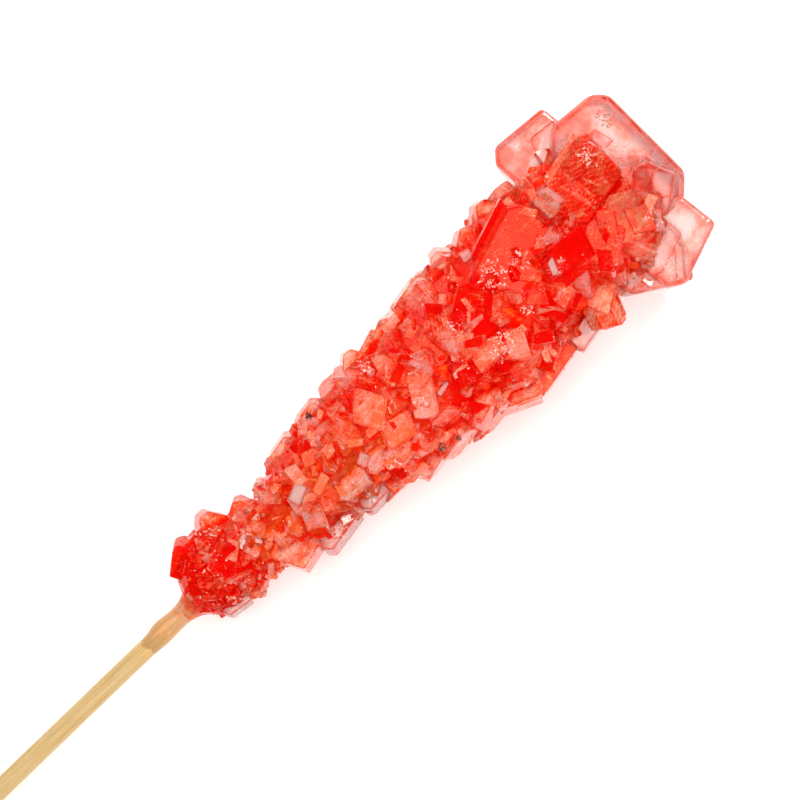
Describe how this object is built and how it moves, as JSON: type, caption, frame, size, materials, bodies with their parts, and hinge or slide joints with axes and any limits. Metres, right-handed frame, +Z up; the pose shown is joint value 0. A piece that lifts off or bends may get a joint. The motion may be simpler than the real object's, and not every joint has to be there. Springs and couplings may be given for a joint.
{
  "type": "rock candy stick",
  "caption": "Red rock candy on a thin bamboo stick, lying down: a crust of intergrown sugar crystals that widens from a narrow neck to a block-like cluster at the tip.",
  "frame": {"origin": "on the table that the candy lies on, under the middle of its whole length and width", "axes": "+X along the stick from its bare end towards the candy's tip, +Z up from the table, towards the shown side"},
  "size_m": [0.1726, 0.0338, 0.0274],
  "materials": {
    "bamboo": "plain split bamboo with fine lengthwise grain",
    "sugar": "clear to cloudy red sugar crystals with flat shiny faces, paler at the edges and the tip"
  },
  "bodies": {
    "root": {"stick": "bamboo", "candy": "sugar"}
  },
  "joints": []
}
